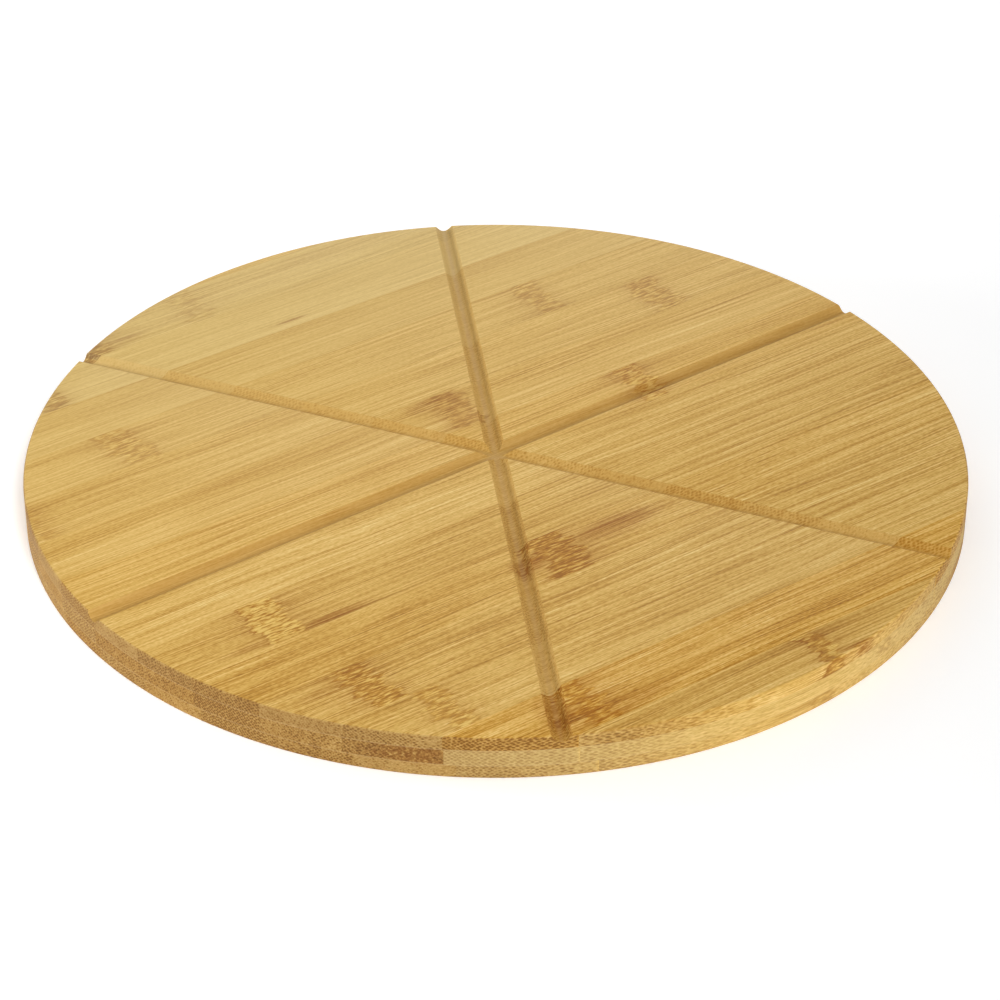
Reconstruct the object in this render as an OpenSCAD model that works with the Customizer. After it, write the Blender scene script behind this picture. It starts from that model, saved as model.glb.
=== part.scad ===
/* [Board] */
// Diameter of the board
board_d = 320; // [200:5:400]
// Radius of the eased edges around the rim
edge_r = 0.8; // [0.3:0.1:2]
// Number of facets across an eased edge
edge_facets = 3; // [1:1:8]

/* [Plies] */
// Thickness of the face ply, which carries the grooves
face_ply_t = 4.8; // [3.5:0.1:8]
// Thickness of the core ply
core_ply_t = 5.7; // [3:0.1:10]
// Thickness of the base ply, which rests on the table
base_ply_t = 4.9; // [3:0.1:8]

/* [Strips] */
// Number of strips in each ply, with the two that the rim cuts along their length
strips_per_ply = 15; // [9:1:19]
// Share of a strip's width that the rim leaves of a ply's first and last strips together
rim_strips_share = 0.9; // [0.85:0.01:1.4]
// Share of its width that the rim leaves of the first strip of the face ply
face_first_share = 0.74; // [0.3:0.01:0.78]
// Share of its width that the rim leaves of the first strip of the core ply
core_first_share = 0.73; // [0.3:0.01:0.78]
// Share of its width that the rim leaves of the first strip of the base ply
base_first_share = 0.62; // [0.3:0.01:0.78]

/* [Grooves] */
// Number of slices that the grooves mark out
slices = 6; // [4:2:12]
// Width of a groove between its lips
groove_w = 6.7; // [5:0.1:9]
// Depth of a groove at its rounded floor
groove_depth = 2.3; // [1.2:0.1:2.4]
// Slope of a groove's flanks, in degrees from the face
groove_flank = 45; // [45:1:60]
// Angle from the grain to the first groove, in degrees
groove_turn = 1.5; // [-15:0.5:15]

/* [Hidden] */
// Height that every cutter runs on past the surface it cuts
overrun = 2;

board_r = board_d / 2;
core_z = base_ply_t;
face_z = base_ply_t + core_ply_t;

// A round-nosed cutter that touches the face at groove_w and the floor at groove_depth
nose_r = (groove_w / 2 * tan(groove_flank) - groove_depth) / (1 / cos(groove_flank) - 1);
nose_tangent_x = nose_r * sin(groove_flank);
nose_tangent_y = nose_r * (1 - cos(groove_flank));
cutter_top_x = groove_w / 2 + overrun / tan(groove_flank);
cutter_top_y = groove_depth + overrun;

// Bamboo tones of neighbouring strips
strip_tones = ["#DDB972", "#D6AF68", "#E0BE7B", "#D2A962"];

// Width of a whole strip, and the glue joints of a ply from one rim to the other
strip_w = board_d / (strips_per_ply - 2 + rim_strips_share);
function joints(first_share) = [
    for (k = [0 : strips_per_ply - 2])
        (first_share + k) * strip_w - board_r
];
face_joints = joints(face_first_share);
core_joints = joints(core_first_share);
base_joints = joints(base_first_share);

function strip_name(ply, i) = str(ply, "_strip_", i < 9 ? "0" : "", i + 1);
last_strip = strips_per_ply - 1;

$fn = 180;

// Points of an eased corner at (x, z), from the rim wall to the face; side is 1 at the top, -1 below
function eased_corner(x, z, side) = [
    for (a = [0 : 90 / edge_facets : 90])
        [x - edge_r * (1 - cos(a)), z - side * edge_r * (1 - sin(a))]
];
function reversed(points) = [for (i = [len(points) - 1 : -1 : 0]) points[i]];

// Half section of a ply: square corners, with the top or the bottom outer corner eased
module ply_section(t, eased_top, eased_bottom) {
    top_corner = eased_top ? eased_corner(board_r, t, 1) : [[board_r, t]];
    bottom_corner = eased_bottom ? reversed(eased_corner(board_r, 0, -1)) : [[board_r, 0]];
    polygon(concat([[0, 0]], bottom_corner, top_corner, [[0, t]]));
}

// Slab of the blank between two glue joints; the outermost strips run out past the rim
module strip_slab(ply_joints, i, t) {
    low_y = i == 0 ? -board_r - overrun : ply_joints[i - 1];
    high_y = i == last_strip ? board_r + overrun : ply_joints[i];
    translate([-board_r - overrun, low_y, -overrun])
        cube([board_d + 2 * overrun, high_y - low_y, t + 2 * overrun]);
}

// One strip of a ply, cut to the round outline of the board
module strip(ply_joints, i, t, eased_top = false, eased_bottom = false) {
    intersection() {
        rotate_extrude() ply_section(t, eased_top, eased_bottom);
        strip_slab(ply_joints, i, t);
    }
}

// Cross-section of a groove's cutter, with the floor of the groove at zero
module groove_section() {
    translate([0, nose_r]) circle(nose_r, $fn = 64);
    polygon([
        [-cutter_top_x, cutter_top_y],
        [-nose_tangent_x, nose_tangent_y],
        [nose_tangent_x, nose_tangent_y],
        [cutter_top_x, cutter_top_y]
    ]);
}

// Straight groove from rim to rim through the centre of the board, along X
module groove() {
    translate([-board_r - overrun, 0, face_ply_t - groove_depth])
        rotate([90, 0, 90])
            linear_extrude(board_d + 2 * overrun) groove_section();
}

// A strip with the grooves cut into it one after another, evenly turned about the centre
module grooved(cuts) {
    if (cuts == 0) children();
    else difference() {
        grooved(cuts - 1) children();
        rotate([0, 0, groove_turn + (cuts - 1) * 360 / slices]) groove();
    }
}

module face_strip(i) {
    color(strip_tones[i % len(strip_tones)])
        translate([0, 0, face_z])
            grooved(slices / 2) strip(face_joints, i, face_ply_t, eased_top = true);
}

module core_strip(i) {
    color(strip_tones[(i + 1) % len(strip_tones)])
        translate([0, 0, core_z])
            strip(core_joints, i, core_ply_t);
}

module base_strip(i) {
    color(strip_tones[(i + 2) % len(strip_tones)])
        strip(base_joints, i, base_ply_t, eased_bottom = true);
}

for (i = [0 : last_strip]) {
    face_strip(i);
    core_strip(i);
    base_strip(i);
}
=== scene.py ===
"""Round bamboo serving board: three plies of glued strips, with three shallow grooves across the face."""

import math
from functools import partial

import bmesh
import bpy
import numpy as np
from mathutils import Matrix, Vector


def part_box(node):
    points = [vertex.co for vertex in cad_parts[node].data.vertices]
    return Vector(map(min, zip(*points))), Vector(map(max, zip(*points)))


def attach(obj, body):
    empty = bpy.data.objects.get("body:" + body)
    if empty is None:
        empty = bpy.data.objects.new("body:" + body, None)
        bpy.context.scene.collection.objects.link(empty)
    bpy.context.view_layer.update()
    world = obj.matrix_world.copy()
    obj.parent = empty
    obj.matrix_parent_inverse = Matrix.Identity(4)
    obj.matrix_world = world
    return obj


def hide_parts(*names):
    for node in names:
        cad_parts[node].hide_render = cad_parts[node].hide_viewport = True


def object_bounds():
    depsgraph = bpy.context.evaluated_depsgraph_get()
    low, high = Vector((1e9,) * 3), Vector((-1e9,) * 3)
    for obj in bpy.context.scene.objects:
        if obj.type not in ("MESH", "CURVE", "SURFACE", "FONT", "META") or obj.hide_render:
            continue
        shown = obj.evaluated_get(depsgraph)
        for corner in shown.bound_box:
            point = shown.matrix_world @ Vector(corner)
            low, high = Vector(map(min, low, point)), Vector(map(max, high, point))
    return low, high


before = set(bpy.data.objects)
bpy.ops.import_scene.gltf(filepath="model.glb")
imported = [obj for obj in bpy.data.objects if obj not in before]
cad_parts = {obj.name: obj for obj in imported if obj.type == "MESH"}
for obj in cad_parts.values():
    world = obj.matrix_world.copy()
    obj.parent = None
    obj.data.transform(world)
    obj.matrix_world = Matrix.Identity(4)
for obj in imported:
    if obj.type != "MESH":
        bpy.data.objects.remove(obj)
cad_low, cad_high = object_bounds()

MM = 0.001

# Sizes that the frame gives
BOARD_R = (cad_high.x - cad_low.x) / 2
FACE_Z = cad_high.z
PLIES = ("face", "core", "base")
STRIPS_PER_PLY = len(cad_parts) // len(PLIES)
PLY_JOINTS = [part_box(f"{ply}_strip_01")[0].z for ply in ("face", "core")]

# Sizes that the frame doesn't give: the eased rim and the grooves, as in the construction
EDGE_R = 0.8 * MM
GROOVE_W = 6.7 * MM
GROOVE_DEPTH = 2.3 * MM
GROOVE_FLANK = math.radians(45)
GROOVE_TURN = math.radians(1.5)
GROOVE_COUNT = 3

# The sander softens the groove's lips by this radius
LIP_R = 0.3 * MM

# Fineness of the meshes, and the gap below which two points are one
RIM_STEP = math.radians(0.4)
ROUND_STEPS = 8
NOSE_STEPS = 20
MERGE_GAP = 0.002 * MM


def new_mesh_object(name, points, faces):
    """A mesh object from an array of points and a list of faces, at the origin."""
    mesh = bpy.data.meshes.new(name)
    mesh.from_pydata(points.tolist(), [], faces)
    mesh.update()
    piece = bpy.data.objects.new(name, mesh)
    bpy.context.scene.collection.objects.link(piece)
    return piece


def eased_drop(inset):
    """How far the eased corner has fallen from the flat face at a distance in from the rim wall: a
    quarter circle, so E - sqrt(E^2 - (E - inset)^2), and nothing further in than E."""
    return EDGE_R - np.sqrt(EDGE_R**2 - np.clip(EDGE_R - inset, 0, EDGE_R) ** 2)


def rim_profile(ply, low_z, high_z):
    """Radius and height of the rim wall from bottom to top: a plumb wall whose outer corner, on the
    face and base plies, is a quarter circle of EDGE_R."""
    turn = np.linspace(0, math.pi / 2, ROUND_STEPS + 1)
    inset = EDGE_R * (1 - np.cos(turn))
    drop = EDGE_R * (1 - np.sin(turn))
    if ply == "face":
        return BOARD_R - np.append(0, inset), np.append(low_z, high_z - drop)
    if ply == "base":
        return BOARD_R - np.append(inset[::-1], 0), np.append(low_z + drop[::-1], high_z)
    return np.array([BOARD_R, BOARD_R]), np.array([low_z, high_z])


def strip_blank(name, ply, low_y, high_y, low_z, high_z):
    """A strip of the round board between two glue joints. Row y holds the ring where the plane of
    that y cuts the revolved rim profile: x = +-sqrt(r^2 - y^2) at each height of the profile. Where
    y lies beyond a profile point's radius, that point slides along the corner to the radius y."""
    radius, height = rim_profile(ply, low_z, high_z)
    start, end = math.asin(low_y / BOARD_R), math.asin(high_y / BOARD_R)
    rows = math.ceil((end - start) / RIM_STEP) + 1
    y = BOARD_R * np.sin(np.linspace(start, end, rows))[:, None]
    reach = np.sqrt(np.maximum(radius**2 - y**2, 0))
    fallen = eased_drop(BOARD_R - np.abs(y))
    z = np.clip(height, low_z + fallen * (ply == "base"), high_z - fallen * (ply == "face"))
    y = np.broadcast_to(y, reach.shape)
    right = np.stack([reach, y, z], -1)
    left = np.stack([-reach, y, z], -1)[:, ::-1]
    ring = np.concatenate([right, left], 1)
    size = ring.shape[1]
    index = np.arange(rows * size).reshape(rows, size)
    here, ahead = index[:-1], index[1:]
    quads = np.stack([here, ahead, np.roll(ahead, -1, 1), np.roll(here, -1, 1)], -1).reshape(-1, 4)
    caps = [index[0].tolist()] if low_y > -BOARD_R else []
    caps += [index[-1][::-1].tolist()] if high_y < BOARD_R else []
    piece = new_mesh_object(name, ring.reshape(-1, 3), quads.tolist() + caps)
    clean(piece.data)
    return piece


def clean(mesh):
    """Merges points that coincide and drops the faces that have shrunk to nothing."""
    soft = bmesh.new()
    soft.from_mesh(mesh)
    bmesh.ops.remove_doubles(soft, verts=soft.verts, dist=MERGE_GAP)
    bmesh.ops.dissolve_degenerate(soft, edges=soft.edges, dist=MERGE_GAP)
    soft.to_mesh(mesh)
    soft.free()


def groove_cutter(name, turn):
    """A straight cutter through the board's centre. Its section, in s across and h above the floor,
    is the round nose r(sin t, 1 - cos t), the straight flanks, and the arcs that soften the lips."""
    slope = GROOVE_FLANK
    nose_r = (GROOVE_W / 2 * math.tan(slope) - GROOVE_DEPTH) / (1 / math.cos(slope) - 1)
    nose_t = np.linspace(0, slope, NOSE_STEPS // 2 + 1)
    nose = np.stack([nose_r * np.sin(nose_t), nose_r * (1 - np.cos(nose_t))], -1)
    # The lip's arc stops just short of level, so that the cutter crosses the face at a clean angle
    lip_end = math.radians(97)
    lip_t = np.linspace(math.pi / 2 + slope, lip_end, ROUND_STEPS - 1)
    lip_s = GROOVE_W / 2 + LIP_R * math.tan(slope / 2)
    lip = np.stack([lip_s + LIP_R * np.cos(lip_t), GROOVE_DEPTH - LIP_R + LIP_R * np.sin(lip_t)], -1)
    # How far the cutter runs on beside the lips, above the face and past the rim
    run_out = 2 * LIP_R
    above = 3 * MM
    past_rim = 5 * MM
    skirt = lip[-1] + run_out * np.array([1, math.tan(lip_end - math.pi / 2)])
    wall = np.array([skirt[0], GROOVE_DEPTH + above])
    right = np.concatenate([nose, lip, [skirt], [wall]])
    left = right[:0:-1] * np.array([-1, 1])
    section = np.concatenate([left, right])
    half_length = BOARD_R + past_rim
    along = np.array([-half_length, half_length])[:, None]
    x = along * math.cos(turn) - section[None, :, 0] * math.sin(turn)
    y = along * math.sin(turn) + section[None, :, 0] * math.cos(turn)
    z = np.broadcast_to(section[None, :, 1] + FACE_Z - GROOVE_DEPTH, x.shape)
    size = len(section)
    index = np.arange(2 * size).reshape(2, size)
    sides = np.stack([index[0], np.roll(index[0], -1), np.roll(index[1], -1), index[1]], -1)
    caps = [index[0][::-1].tolist(), index[1].tolist()]
    return new_mesh_object(name, np.stack([x, y, z], -1).reshape(-1, 3), sides.tolist() + caps)


def carve(piece, cutters):
    """Takes the cutters' solids out of the piece and keeps the result as its mesh."""
    for cutter in cutters:
        cut = piece.modifiers.new("groove", "BOOLEAN")
        cut.operation = "DIFFERENCE"
        cut.solver = "EXACT"
        cut.object = cutter
    shown = piece.evaluated_get(bpy.context.evaluated_depsgraph_get())
    carved = bpy.data.meshes.new_from_object(shown)
    piece.modifiers.clear()
    blank, piece.data = piece.data, carved
    bpy.data.meshes.remove(blank)
    clean(carved)


def shade(mesh):
    """Smooth shading on the curved faces only: those that face straight up, down or across the
    strip stay flat, and edges over 30 degrees stay sharp."""
    count = len(mesh.polygons)
    normal = np.zeros(count * 3, np.float32)
    mesh.polygons.foreach_get("normal", normal)
    normal = np.abs(normal.reshape(-1, 3))
    square = 0.9999
    curved = (normal[:, 2] < square) & (normal[:, 1] < square)
    mesh.polygons.foreach_set("use_smooth", curved)
    mesh.set_sharp_from_angle(angle=math.radians(30))


# Looks of each strip, set against the photograph. A knuckle is the place where the cane had a joint. Its
# values are where its middle lies along the grain and how wide it is, in mm, and how strongly it shows; how
# far in mm its brown smear runs on to the right and to the left, and how dark that is; and how dark the
# line is along its left and its right edge, and how pale the block is inside, from 0 to 1. A strip has up
# to two marks of each kind, and one that it lacks is kept far off the board.
MARKS = 2
FAR_OFF = 9000
NO_KNUCKLE = ((FAR_OFF, 10, 0), (1, 1, 0), (0, 0, 0))
KNUCKLES = {
    "face": {
        1: [((15, 7, 0.8), (14, 10, 0.5), (1.0, 0.3, 0.45))],
        2: [((-60, 10, 0.8), (16, 8, 0.6), (0.3, 0.6, 0.55))],
        3: [((-97, 9, 0.7), (10, 8, 0.3), (0.5, 0.4, 0.6))],
        4: [((-109, 11, 0.9), (8, 18, 0.5), (0.7, 0.4, 0.52))],
        5: [((-20, 15, 0.9), (16, 6, 0.6), (0.3, 0.4, 0.4))],
        6: [((-116, 13, 0.95), (14, 10, 0.5), (0.8, 0.5, 0.8))],
        8: [((68, 10, 0.8), (6, 8, 0.5), (0.5, 0.4, 0.72))],
        9: [((4, 12, 0.55), (2, 9, 0.6), (0.7, 0.2, 0.55))],
        10: [
            ((110, 12, 0.6), (5, 6, 0.4), (0.3, 0.3, 0.6)),
            ((-150, 6, 0.4), (8, 6, 0.3), (0.3, 0.3, 0.5)),
        ],
        11: [
            ((73, 10, 0.5), (6, 14, 0.3), (0.5, 0.3, 0.55)),
            ((-101, 12, 0.5), (8, 10, 0.3), (0.5, 0.3, 0.55)),
        ],
        13: [((-108, 8, 0.55), (6, 6, 0.5), (0.5, 0.5, 0.45))],
        14: [
            ((-77, 9, 0.6), (12, 6, 0.5), (0.4, 0.4, 0.45)),
            ((-35, 10, 0.3), (6, 6, 0.15), (0.2, 0.2, 0.5)),
        ],
    },
    "core": {
        1: [((40, 10, 0.35), (10, 10, 0.25), (0.5, 0.5, 0.5))],
        3: [((-112, 14, 0.7), (8, 6, 0.6), (0.3, 0.6, 0.35))],
        7: [((150, 12, 0.8), (10, 10, 0.6), (0.5, 0.5, 0.4))],
    },
    "base": {
        1: [((12, 9, 0.35), (12, 12, 0.3), (0.6, 0.5, 0.45))],
        2: [((96, 11, 0.8), (16, 10, 0.5), (0.4, 0.6, 0.5))],
        4: [
            ((-52, 12, 0.9), (24, 12, 0.6), (0.8, 0.3, 0.45)),
            ((118, 10, 0.7), (12, 10, 0.5), (0.4, 0.4, 0.55)),
        ],
        6: [((34, 12, 0.9), (20, 14, 0.5), (0.5, 0.5, 0.6))],
        7: [((-128, 12, 0.8), (16, 12, 0.5), (0.3, 0.6, 0.5))],
        8: [((-8, 10, 0.7), (14, 10, 0.4), (0.6, 0.3, 0.45))],
        10: [
            ((84, 13, 0.9), (18, 10, 0.6), (0.6, 0.4, 0.6)),
            ((-96, 10, 0.8), (14, 10, 0.5), (0.4, 0.4, 0.5)),
        ],
        12: [((-34, 11, 0.8), (22, 12, 0.5), (0.5, 0.3, 0.55))],
        13: [((72, 12, 0.8), (12, 12, 0.5), (0.4, 0.5, 0.45))],
    },
}

# Brown stains along a few fibres of the face, away from a knuckle's own smear: the middle along and
# across the grain and the half length, then the half height, all in mm, and the depth
NO_STAIN = ((FAR_OFF, FAR_OFF, 1), (1, 0, 0))
FACE_STAINS = {
    1: [((26, -157, 12), (1.6, 0.9, 0))],
    2: [((-44, -139, 18), (2.2, 0.6, 0)), ((-70, -131, 9), (13, 0.8, 0))],
    4: [((-122, -80.5, 14), (4.5, 0.45, 0))],
    5: [((4, -60, 24), (7.5, 0.95, 0)), ((-31, -62, 9), (7.5, 1.0, 0))],
    6: [((-98, -48.7, 20), (2.4, 1.0, 0)), ((-128, -48, 14), (2.2, 0.7, 0))],
    8: [((65, 16.4, 12), (1.4, 0.8, 0))],
    9: [((-6, 37, 8), (4.5, 0.5, 0))],
    10: [((110, 61, 9), (3.2, 0.6, 0))],
    13: [((-9, 114.6, 9), (1.0, 0.9, 0))],
    14: [((-66, 138, 12), (3.0, 0.5, 0)), ((-36, 138, 9), (3.0, 0.25, 0))],
}

# Lightness and warmth of each strip and the depth of its fibre pattern, from -Y to +Y. On the face, the
# strips towards +Y, the side away from the camera, are less red and weaker in colour and shallower in
# pattern as a painted sheen.
TONES_AND_SHEEN = {
    "face": [
        (0.02, -0.1, 0.9), (-0.01, 0.3, 1.1), (0.045, -0.1, 0.95), (0.025, -0.1, 1.0), (0.0, 0.0, 1.0),
        (-0.035, -0.1, 0.9), (0.025, -0.1, 0.9), (0.025, 0.0, 0.8), (0.035, -0.15, 0.7),
        (0.015, -0.25, 0.65), (0.025, -0.35, 0.58), (0.005, -0.5, 0.45), (0.055, -0.8, 0.4),
        (0.015, -0.9, 0.45), (-0.01, -0.5, 0.5),
    ],
    "core": [
        (0.06, -0.5, 0.6), (0.08, -0.5, 0.6), (-0.1, 0.0, 1.2), (-0.08, 0.0, 1.1), (-0.08, 0.0, 1.1),
        (-0.1, 0.1, 1.0), (-0.08, 0.1, 1.0), (0.02, -0.1, 0.9), (-0.06, 0.1, 1.0), (-0.02, 0.0, 1.0),
        (0.05, 0.0, 1.0), (-0.05, 0.2, 1.0), (0.02, 0.0, 1.0), (0.0, 0.1, 1.0), (0.05, 0.0, 1.0),
    ],
    "base": [
        (0.03, -0.4, 0.7), (0.01, -0.3, 0.8), (-0.05, -0.1, 0.9), (-0.06, 0.0, 1.0), (0.0, 0.0, 1.0),
        (-0.02, 0.1, 1.0), (0.02, 0.0, 1.0), (-0.03, 0.2, 1.0), (0.0, 0.0, 1.0), (0.02, -0.1, 1.0),
        (-0.03, 0.1, 1.1), (0.02, 0.0, 1.0), (-0.02, 0.2, 1.0), (0.02, 0.0, 1.0), (0.0, 0.1, 1.0),
    ],
}


def store(mesh, name, vectors, domain="POINT"):
    """Puts a vector for each point or corner into the mesh; one vector alone goes to all of them."""
    field = mesh.attributes.new(name, "FLOAT_VECTOR", domain)
    spread = np.broadcast_to(np.array(vectors, np.float32), (len(field.data), 3))
    field.data.foreach_set("vector", spread.ravel())


def cut_of(mesh, ply):
    """For each corner: how squarely the surface cuts the fibres, which run along X (the size of its
    normal's X part), whether it lies in a groove, which looks up from below the face, and how squarely it
    faces -X on a face strip, whose left end is drawn darker."""
    count = len(mesh.loops)
    normal = np.zeros(count * 3, np.float32)
    mesh.corner_normals.foreach_get("vector", normal)
    normal = normal.reshape(-1, 3)
    faces = len(mesh.polygons)
    middle, facing = np.zeros(faces * 3, np.float32), np.zeros(faces * 3, np.float32)
    sides = np.zeros(faces, np.int32)
    mesh.polygons.foreach_get("center", middle)
    mesh.polygons.foreach_get("normal", facing)
    mesh.polygons.foreach_get("loop_total", sides)
    middle, facing = middle.reshape(-1, 3), facing.reshape(-1, 3)
    rim_margin = 1.5 * EDGE_R
    sinks_from = 0.02 * MM
    inside = np.hypot(middle[:, 0], middle[:, 1]) < BOARD_R - rim_margin
    looks_up = facing[:, 2] > 0.1
    sunk = (middle[:, 2] < FACE_Z - sinks_from) & looks_up & inside & (ply == "face")
    sunk = np.repeat(sunk, sides)
    left_end = np.clip(-normal[:, 0], 0, 1) * ~sunk * (ply == "face")
    return np.stack([np.abs(normal[:, 0]), sunk, left_end], -1)


# How far apart two strips' places in the bamboo pattern lie along X, Y and Z, in mm
PATTERN_STEP = np.array([211, 37, 23])


def mark_strip(mesh, ply, number):
    """Gives a strip its own place in the bamboo pattern, its tone, its knuckles and its stains."""
    seed = PLIES.index(ply) * STRIPS_PER_PLY + number
    store(mesh, "pattern_shift", PATTERN_STEP * seed)
    store(mesh, "tone", TONES_AND_SHEEN[ply][number - 1])
    store(mesh, "cut", cut_of(mesh, ply), "CORNER")
    knuckles = KNUCKLES[ply].get(number, []) + [NO_KNUCKLE] * MARKS
    stains = (FACE_STAINS.get(number, []) if ply == "face" else []) + [NO_STAIN] * MARKS
    for i in range(MARKS):
        for name, vector in zip(("knuckle", "smear", "edge"), knuckles[i]):
            store(mesh, f"{name}_{i}", vector)
        for name, vector in zip(("stain", "stain_size"), stains[i]):
            store(mesh, f"{name}_{i}", vector)


def linear(code):
    """An sRGB hex colour as linear red, green, blue and alpha."""
    parts = [int(code[i : i + 2], 16) / 255 for i in (1, 3, 5)]
    return tuple(c / 12.92 if c <= 0.04045 else ((c + 0.055) / 1.055) ** 2.4 for c in parts) + (1.0,)


def add(tree, kind, *inputs, out=0, named=None, stops=(), **settings):
    """Adds a shader node with its settings, fills its sockets in order, where None leaves one alone,
    and by name or number, with values or links, and returns the output asked for."""
    node = tree.nodes.new("ShaderNode" + kind)
    for name, value in settings.items():
        setattr(node, name, value)
    for i, (position, code) in enumerate(stops):
        stop = node.color_ramp.elements[i] if i < 2 else node.color_ramp.elements.new(position)
        stop.position, stop.color = position, linear(code)
    for key, value in [*enumerate(inputs), *(named or {}).items()]:
        if isinstance(value, bpy.types.NodeSocket):
            tree.links.new(value, node.inputs[key])
        elif value is not None:
            node.inputs[key].default_value = value
    return node.outputs[out]


def cell(length, width):
    """The scale that makes one cell of a pattern so long along the grain and so wide across it, in mm."""
    return 1 / length, 1 / width, 1 / width


def knuckle_masks(tree, x, rows, i):
    """Where knuckle i shows: a band across the strip whose two edges step in and out from one row of
    fibres to the next, the dark lines along both edges, and the smear that fades out beyond them."""
    put = partial(add, tree)
    place, width, strength, right, left, dark, left_line, right_line, pale = [
        put("SeparateXYZ", put("Attribute", out="Vector", attribute_name=f"{name}_{i}"), out=part)
        for name in ("knuckle", "smear", "edge")
        for part in range(3)
    ]
    # Lengths in mm: how far a row of fibres steps in or out, how soft the band's edge is, and where the
    # dark line along it begins and is full; and the share of a smear that is left at its reach
    row_step = 3.2
    edge_softness = 0.7
    line_outside = 1.1
    line_full = 0.4
    left_at_reach = 0.15
    offset = put("Math", x, place, operation="SUBTRACT")
    to_right = put("Math", offset, 0, operation="GREATER_THAN")
    step = put("MapRange", rows, 0.3, 0.7, -row_step, row_step)
    ragged = put("Math", put("Math", offset, step, operation="ADD"), operation="ABSOLUTE")
    beyond = put("Math", ragged, put("Math", width, 0.5, operation="MULTIPLY"), operation="SUBTRACT")
    band = put(
        "MapRange",
        beyond,
        edge_softness,
        -edge_softness,
        0,
        strength,
        interpolation_type="SMOOTHSTEP",
    )
    from_edge = put("Math", beyond, operation="ABSOLUTE")
    line = put("MapRange", from_edge, line_outside, line_full, 0, strength)
    line = put("Math", line, put("Mix", to_right, None, left_line, right_line), operation="MULTIPLY")
    reach = put("Mix", to_right, None, left, right)
    fade = put("Math", put("Math", beyond, 0, operation="MAXIMUM"), reach, operation="DIVIDE")
    trail = put("Math", put("Math", left_at_reach, fade, operation="POWER"), dark, operation="MULTIPLY")
    return band, line, trail, pale


def stain_mask(tree, x, y, i):
    """Stain i: an ellipse along the fibres that fades to its rim."""
    put = partial(add, tree)
    place_x, place_y, length, height, dark = [
        put("SeparateXYZ", put("Attribute", out="Vector", attribute_name=f"{name}_{i}"), out=part)
        for name, parts in (("stain", 3), ("stain_size", 2))
        for part in range(parts)
    ]
    along = put("Math", put("Math", x, place_x, operation="SUBTRACT"), length, operation="DIVIDE")
    across = put("Math", put("Math", y, place_y, operation="SUBTRACT"), height, operation="DIVIDE")
    near = put("VectorMath", put("CombineXYZ", along, across, 0), operation="LENGTH", out="Value")
    return put("MapRange", near, 1.1, 0.2, 0, dark, interpolation_type="SMOOTHSTEP")


# Colours of the fibres and of a knuckle's dashes from dark to pale, and of what darkens or covers them
FIBRE_COLOURS = ((0.0, "#8E5F1A"), (0.3, "#B8872F"), (0.5, "#CDA24B"), (0.7, "#DEB665"), (1.0, "#F0D890"))
DASH_COLOURS = ((0.0, "#A06A0A"), (0.33, "#B57E1C"), (0.66, "#D0A03A"), (1.0, "#ECCB6E"))
BROWN_STAIN = "#C49C28"
# Darkens the oil on the cut ends, the painted shade in the grooves and the darker left ends of the face
# strips
OIL_AND_SHADE = "#BAA68A"
DRY_GLUE = "#E2C284"


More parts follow.
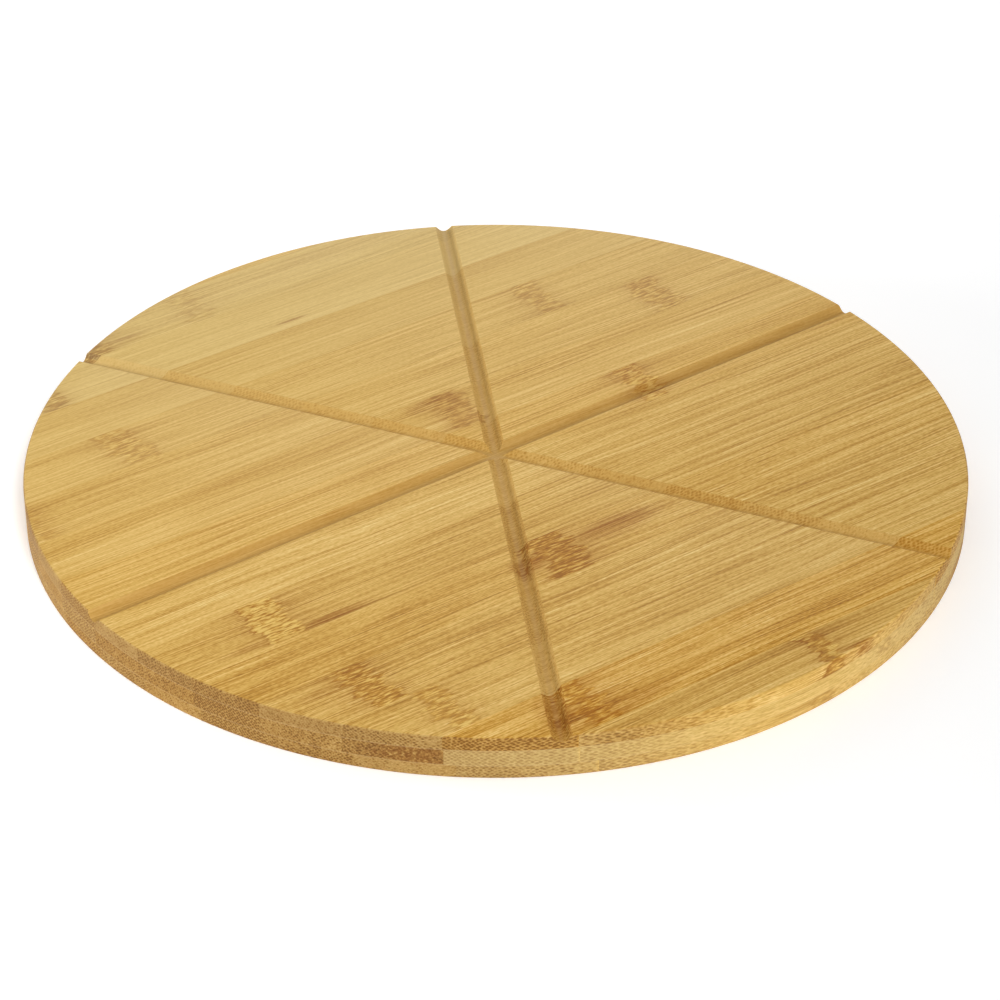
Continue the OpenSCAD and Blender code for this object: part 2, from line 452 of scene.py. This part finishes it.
def pressed_bamboo():
    """Flat-pressed, carbonised moso bamboo under a thin satin oil. The fibre bundles run along X right
    through each strip: fine streaks on the face, dark dots under 1 mm apart where an edge or a groove
    cuts across them, and flecked brown bands where the cane had its joints."""
    material = bpy.data.materials.new("oiled_pressed_bamboo")
    material.use_nodes = True
    tree = material.node_tree
    put = partial(add, tree)
    # A Mix node for colours takes its share in socket 0 and its colours in 6 and 7, and gives output 2
    colours = {"data_type": "RGBA", "out": 2}

    # The object's coordinates in mm, the same moved to the strip's own place in the pattern, and the
    # values that the strip's mesh carries
    object_mm = put("VectorMath", put("TexCoord", out="Object"), (1 / MM,) * 3, operation="MULTIPLY")
    shift = put("Attribute", out="Vector", attribute_name="pattern_shift")
    shifted = put("VectorMath", object_mm, shift, operation="ADD")
    x, y, z = [put("SeparateXYZ", object_mm, out=i) for i in range(3)]
    tone = put("Attribute", out="Vector", attribute_name="tone")
    lightness, warmth, depth = [put("SeparateXYZ", tone, out=i) for i in range(3)]
    cut = put("Attribute", out="Vector", attribute_name="cut")
    across, sunk, left_end = [put("SeparateXYZ", cut, out=i) for i in range(3)]
    # Cut ends: none where the surface runs along the fibres, and all from 30 degrees off them
    ends = put("MapRange", across, 0.04, 0.5, 0, 1, interpolation_type="SMOOTHSTEP")
    above = put("Math", 1, sunk, operation="SUBTRACT")
    rim_ends = put("Math", ends, above, operation="MULTIPLY")

    # The fibres wander by half a millimetre or so over a hand's width
    sway_length = 75
    sway_width = 14
    sway_reach = (0, 3.0, 0.8)
    slow = put("VectorMath", shifted, cell(sway_length, sway_width), operation="MULTIPLY")
    sway = put("TexNoise", slow, None, 1, 1, out="Color")
    wander = put("VectorMath", sway, sway_reach, operation="MULTIPLY")
    grain = put("VectorMath", shifted, wander, operation="ADD")

    # A strip's own lightness, and how far the pattern swings about it: less at cut ends and in grooves
    value = put("Math", rim_ends, -0.02, 0.5, operation="MULTIPLY_ADD")
    value = put("Math", lightness, value, operation="ADD")
    at_ends = put("Math", ends, -0.4, 1, operation="MULTIPLY_ADD")
    in_groove = put("Math", sunk, -0.45, 1, operation="MULTIPLY_ADD")
    swing_depth = put("Math", at_ends, depth, operation="MULTIPLY")
    swing_depth = put("Math", swing_depth, in_groove, operation="MULTIPLY")

    # Length and width in mm, octaves and weight of the fibre pattern's layers: the finest fibres, threads
    # of several fibres, bands, the slow drift of the cane's colour, and specks of cut fibre
    layers = []
    for length, width, octaves, weight in (
        (42, 0.5, 1, 1.05),
        (130, 1.2, 1, 0.36),
        (350, 4.0, 1, 0.27),
        (600, 13, 0, 0.3),
        (1.5, 0.45, 0, 0.4),
    ):
        scaled = put("VectorMath", grain, cell(length, width), operation="MULTIPLY")
        layers.append(put("TexNoise", scaled, None, 1, octaves, 0.6))
        swing = put("Math", layers[-1], 0.5, operation="SUBTRACT")
        swing = put("Math", swing, swing_depth, operation="MULTIPLY")
        value = put("Math", swing, weight, value, operation="MULTIPLY_ADD")
    fine, threads = layers[:2]

    # Fibre bundles, one in each cell of a net that is turned against the plies
    bundle_pitch = 0.85
    bundle_length = 150
    net_turn = math.radians(40)
    bundle_cell = cell(bundle_length, bundle_pitch)
    net = put("Mapping", grain, None, (net_turn, 0, 0), bundle_cell, vector_type="POINT")
    bundle = put("TexVoronoi", net, None, 1, out="Distance", named={"Randomness": 0.4})
    dots = put("MapRange", bundle, 0.62, 0.14, 0, 1, interpolation_type="SMOOTHSTEP")
    dot_depth = put("Math", sunk, -0.22, 0.42, operation="MULTIPLY_ADD")
    dot_depth = put("Math", ends, dot_depth, 0.06, operation="MULTIPLY_ADD")
    dot_depth = put("Math", dot_depth, depth, operation="MULTIPLY")
    dots_down = put("Math", dots, dot_depth, operation="MULTIPLY")
    value = put("Math", value, dots_down, operation="SUBTRACT")

    # Knuckles: brown and pale dashes a few millimetres long and under 1 mm high. The knuckle's edges
    # step in and out with rows of a few fibres, which run on through it.
    row_length = 400
    row_height = 2.4
    dash_length = 4.5
    dash_height = 0.85
    dash_contrast = 3.8
    row_net = put("VectorMath", grain, cell(row_length, row_height), operation="MULTIPLY")
    rows = put("TexNoise", row_net, None, 1, 1, 0.5)
    dash_net = put("VectorMath", grain, cell(dash_length, dash_height), operation="MULTIPLY")
    dashes = put("TexNoise", dash_net, None, 1, 2, 0.65)
    # Smears and stains are streaky: they show more on dark fibres than on pale ones
    streaky = put("MapRange", put("Math", fine, threads, operation="ADD"), 1.15, 0.85, 0.45, 1)
    dash_tone = put("Math", put("Math", dashes, -0.5, operation="ADD"), dash_contrast, operation="MULTIPLY")
    dash_tone = put("Math", dash_tone, dots_down, operation="SUBTRACT")
    blocks = []
    brown = 0
    for i in range(MARKS):
        band, line, trail, pale = knuckle_masks(tree, x, rows, i)
        blocks.append((band, put("Math", dash_tone, pale, operation="ADD")))
        line = put("Math", line, put("MapRange", dashes, 0.62, 0.45, 0.5, 1), operation="MULTIPLY")
        smear = put("Math", trail, streaky, operation="MULTIPLY")
        stain = put("Math", stain_mask(tree, x, y, i), streaky, operation="MULTIPLY")
        for mask in (line, smear, stain):
            brown = put("Math", mask, brown, operation="MAXIMUM")

    # Cut ends soak up more oil, the more squarely they are cut, so they look darker. The grooves are darker
    # too, most on their floors: partly the cutter's burnish, partly painted shade in the recess.
    oil_and_shade = put("MapRange", across, 0.1, 0.85, 0, 0.54, interpolation_type="SMOOTHSTEP")
    oil_and_shade = put("Math", oil_and_shade, above, operation="MULTIPLY")
    groove_burnish_and_shade = put("Math", ends, -0.22, 0.42, operation="MULTIPLY_ADD")
    oil_and_shade = put("Math", groove_burnish_and_shade, sunk, oil_and_shade, operation="MULTIPLY_ADD")
    # The face strips' left ends are drawn darker still
    oil_and_shade = put("Math", left_end, 0.2, oil_and_shade, operation="MULTIPLY_ADD")

    # The glue between two plies shows as a pale hair line around the rim, so wide in mm to either side
    glue_full = 0.1
    glue_gone = 0.3
    glue_cover = 0.15
    above_joint = [put("Math", z, joint / MM, operation="SUBTRACT") for joint in PLY_JOINTS]
    from_joint = [put("Math", height, operation="ABSOLUTE") for height in above_joint]
    nearest = put("Math", *from_joint, operation="MINIMUM")
    glue = put("MapRange", nearest, glue_gone, glue_full, 0, glue_cover)

    colour = put("ValToRGB", value, stops=FIBRE_COLOURS)
    for band, dash_value in blocks:
        inside = put("ValToRGB", dash_value, stops=DASH_COLOURS)
        colour = put("Mix", named={0: band, 6: colour, 7: inside}, **colours)
    for mask, code in ((brown, BROWN_STAIN), (oil_and_shade, OIL_AND_SHADE)):
        colour = put("Mix", named={0: mask, 6: colour, 7: linear(code)}, blend_type="MULTIPLY", **colours)
    colour = put("Mix", named={0: glue, 6: colour, 7: linear(DRY_GLUE)}, **colours)

    # Warm strips are redder and stronger in colour, and the cut ends on the rim yellower and weaker
    end_hue = put("Math", rim_ends, 0.004, 0.5, operation="MULTIPLY_ADD")
    hue = put("Math", warmth, -0.012, end_hue, operation="MULTIPLY_ADD")
    end_saturation = put("Math", rim_ends, -0.07, 0.975, operation="MULTIPLY_ADD")
    saturation = put("Math", warmth, 0.12, end_saturation, operation="MULTIPLY_ADD")
    saturation = put("Math", sunk, -0.02, saturation, operation="MULTIPLY_ADD")
    colour = put("HueSaturation", hue, saturation, 1.03, 1, colour)

    # The oil is thin and the sanded wood shows through it, so its sheen is weak and soft. The relief of
    # the fibres and of the dots is a few hundredths of a millimetre.
    relief_height = 0.06 * MM
    rough = put("Math", ends, 0.1, 0.4, operation="MULTIPLY_ADD")
    rough = put("Math", fine, 0.16, rough, operation="MULTIPLY_ADD")
    relief = put("Math", dots, -0.5, fine, operation="MULTIPLY_ADD")
    normal = put("Bump", 0.35, relief_height, None, relief)
    shader = tree.nodes["Principled BSDF"]
    shader.inputs["IOR"].default_value = 1.38
    shader.inputs["Specular IOR Level"].default_value = 0.13
    tree.links.new(colour, shader.inputs["Base Color"])
    tree.links.new(rough, shader.inputs["Roughness"])
    tree.links.new(normal, shader.inputs["Normal"])
    return material


def plain_material(name, code, roughness):
    """A surface of one colour, for the floor."""
    material = bpy.data.materials.new(name)
    material.use_nodes = True
    shader = material.node_tree.nodes["Principled BSDF"]
    shader.inputs["Base Color"].default_value = linear(code)
    shader.inputs["Roughness"].default_value = roughness
    return material


bamboo = pressed_bamboo()

cutters = [
    groove_cutter(f"cutter_{i}", GROOVE_TURN + i * math.pi / GROOVE_COUNT) for i in range(GROOVE_COUNT)
]
for ply in PLIES:
    for number in range(1, STRIPS_PER_PLY + 1):
        node = f"{ply}_strip_{number:02d}"
        low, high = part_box(node)
        low_y = -BOARD_R if number == 1 else low.y
        high_y = BOARD_R if number == STRIPS_PER_PLY else high.y
        piece = strip_blank(f"bamboo_{node}", ply, low_y, high_y, low.z, high.z)
        if ply == "face":
            carve(piece, cutters)
        shade(piece.data)
        mark_strip(piece.data, ply, number)
        piece.data.materials.append(bamboo)
        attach(piece, "root")
        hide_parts(node)
for cutter in cutters:
    bpy.data.objects.remove(cutter)

# Floor, light and camera. The lamps make the floor white around the board, with a lift that only the
# camera sees, and it keeps the board's shadow. The world shows white to the camera, in mirrors and
# through glass, and lights the board with room_light alone.
floor_half = 4.0
floor = new_mesh_object(
    "floor",
    np.array([[-1, -1, 0], [1, -1, 0], [1, 1, 0], [-1, 1, 0]]) * floor_half,
    [(0, 1, 2, 3)],
)
paper = plain_material("white_paper", "#FBFBFB", roughness=0.9)
seen = add(paper.node_tree, "LightPath", out="Is Camera Ray")
floor_lift = 0.2
lift = add(paper.node_tree, "Math", seen, floor_lift, operation="MULTIPLY")
paper_shader = paper.node_tree.nodes["Principled BSDF"]
paper_shader.inputs["Specular IOR Level"].default_value = 0
paper_shader.inputs["Emission Color"].default_value = (1, 1, 1, 1)
paper.node_tree.links.new(lift, paper_shader.inputs["Emission Strength"])
floor.data.materials.append(paper)

world = bpy.data.worlds.new("studio")
bpy.context.scene.world = world
world.use_nodes = True
room = world.node_tree
room_light = 0.40
shown_white = 1.0
direct = add(room, "LightPath", out="Is Camera Ray")
mirrored = add(room, "LightPath", out="Is Glossy Ray")
through = add(room, "LightPath", out="Is Transmission Ray")
white = add(room, "Math", mirrored, through, operation="MAXIMUM")
white = add(room, "Math", direct, white, operation="MAXIMUM")
strength = add(room, "Mix", white, None, room_light, shown_white)
room.links.new(strength, room.nodes["Background"].inputs["Strength"])
room.nodes["Background"].inputs["Color"].default_value = (1, 1, 1, 1)

# The camera and the lamps stand turned about the board by this angle
VIEW_TURN = math.radians(-35.7)
turn = Matrix.Rotation(VIEW_TURN, 4, "Z")


def softbox(name, place, size, watts, aim=(0, 0, 0), spread=math.pi):
    """A square lamp panel. Its place and its aim are given from where the camera looks: right, away and
    up, in metres. A grid on its front can narrow the angle that its light spreads over."""
    lamp = bpy.data.lights.new(name, "AREA")
    lamp.size = size
    lamp.energy = watts
    lamp.spread = spread
    panel = bpy.data.objects.new(name, lamp)
    bpy.context.scene.collection.objects.link(panel)
    panel.location = turn @ Vector(place)
    panel.rotation_mode = "QUATERNION"
    panel.rotation_quaternion = (turn @ (Vector(aim) - Vector(place))).to_track_quat("-Z", "Y")
    return panel


softbox(
    "key_softbox",
    place=(0.3, -2.05, 1.65),
    size=1.0,
    watts=9.9,
    aim=(-0.85, 0, 0),
    spread=math.radians(60),
)
softbox("right_softbox", place=(1.3, -0.05, 0.14), size=0.26, watts=3.9)
softbox("left_softbox", place=(-1.3, 0.2, 0.14), size=0.26, watts=9)
softbox("back_softbox", place=(0, 0.78, 0.31), size=0.5, watts=1.7, aim=(0, 0.14, 0))

# Where the photograph was taken from: angle above the face and distance in metres from the point that
# the lens aims at, given from where the camera looks, and the lens and sensor in mm
VIEW_ELEVATION = math.radians(33.58)
VIEW_DISTANCE = 1.0840
AIM = Vector((0.0014, -0.0306, 0))
FOCAL_LENGTH = 117.17
SENSOR_WIDTH = 36
back = Vector((0, -math.cos(VIEW_ELEVATION), math.sin(VIEW_ELEVATION)))
camera = bpy.data.objects.new("camera", bpy.data.cameras.new("camera"))
bpy.context.scene.collection.objects.link(camera)
camera.data.sensor_width = SENSOR_WIDTH
camera.data.lens = FOCAL_LENGTH
camera.rotation_mode = "QUATERNION"
camera.location = turn @ (AIM + back * VIEW_DISTANCE) + Vector((0, 0, FACE_Z))
camera.rotation_quaternion = (turn @ -back).to_track_quat("-Z", "Y")
bpy.context.scene.camera = camera

bpy.context.scene.view_settings.view_transform = "Standard"
